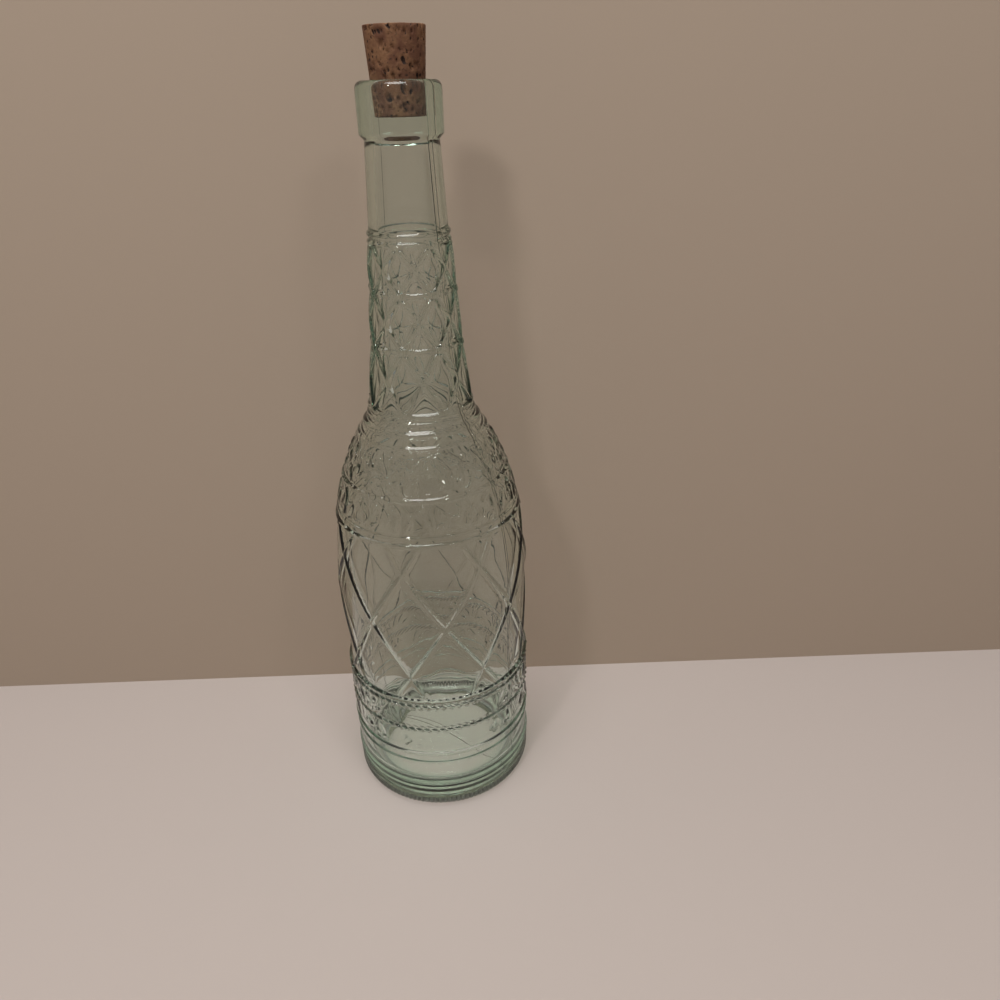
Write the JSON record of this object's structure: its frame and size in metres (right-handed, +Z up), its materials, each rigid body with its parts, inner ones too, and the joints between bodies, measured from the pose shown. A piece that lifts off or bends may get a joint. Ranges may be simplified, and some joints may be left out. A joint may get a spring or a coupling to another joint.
{
  "type": "glass decanter bottle with cork",
  "caption": "Slender mould-blown glass decanter bottle with ringed, diamond-ribbed neck and body, leaf bands, beaded heel and a tapered cork in its mouth.",
  "frame": {"origin": "middle of the standing ring, on the surface the bottle stands on", "axes": "+Z up along the bottle's axis; -Y faces a crossing of the diamond ribs"},
  "size_m": [0.0812, 0.0812, 0.3053],
  "materials": {
    "glass": "clear pale aqua-green mould-blown glass, polished, slightly wavy",
    "cork": "natural cork, matt, pitted with dark pores"
  },
  "bodies": {
    "root": {"bottle": "glass", "cork": "cork"}
  },
  "joints": []
}
